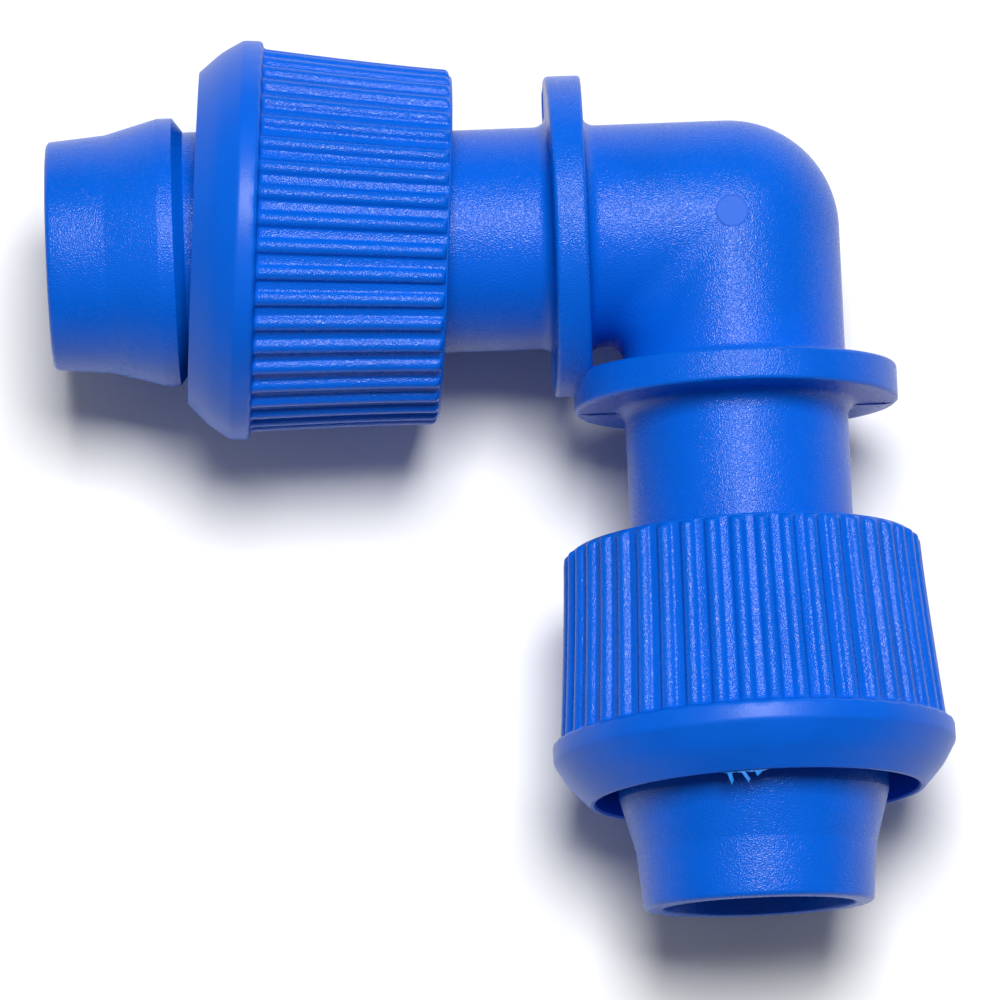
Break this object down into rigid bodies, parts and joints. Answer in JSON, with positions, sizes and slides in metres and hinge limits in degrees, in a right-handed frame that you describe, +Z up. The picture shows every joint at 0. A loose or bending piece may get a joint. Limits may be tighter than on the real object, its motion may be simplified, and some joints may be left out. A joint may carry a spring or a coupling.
{
  "type": "pipe elbow",
  "caption": "Right-angle pipe elbow with a disc flange and a barbed neck on each arm, and a ribbed ring nut on each neck that slides out over the barb to clamp a plastic pipe.",
  "frame": {"origin": "where the axes of the two ports cross, the point from which an elbow's centre-to-end length is measured", "axes": "the left arm points along -X, the lower arm along -Y, and +Z is up when the elbow lies flat"},
  "size_m": [0.0934, 0.0941, 0.0427],
  "materials": {
    "body": "fine spark-eroded matte polypropylene",
    "nut": "satin polypropylene with grainy grooves between smooth ribs"
  },
  "bodies": {
    "body": {"elbow_body": "body"},
    "nut_left": {"ring_nut_left": "nut"},
    "nut_lower": {"ring_nut_lower": "nut"}
  },
  "joints": [
    {"name": "nut_left_slide", "type": "slide", "parent": "body", "child": "nut_left", "axis": [-1, 0, 0], "range_m": [-0.0095, 0.0095]},
    {"name": "nut_lower_slide", "type": "slide", "parent": "body", "child": "nut_lower", "axis": [0, -1, 0], "range_m": [-0.0133, 0.0058]}
  ]
}
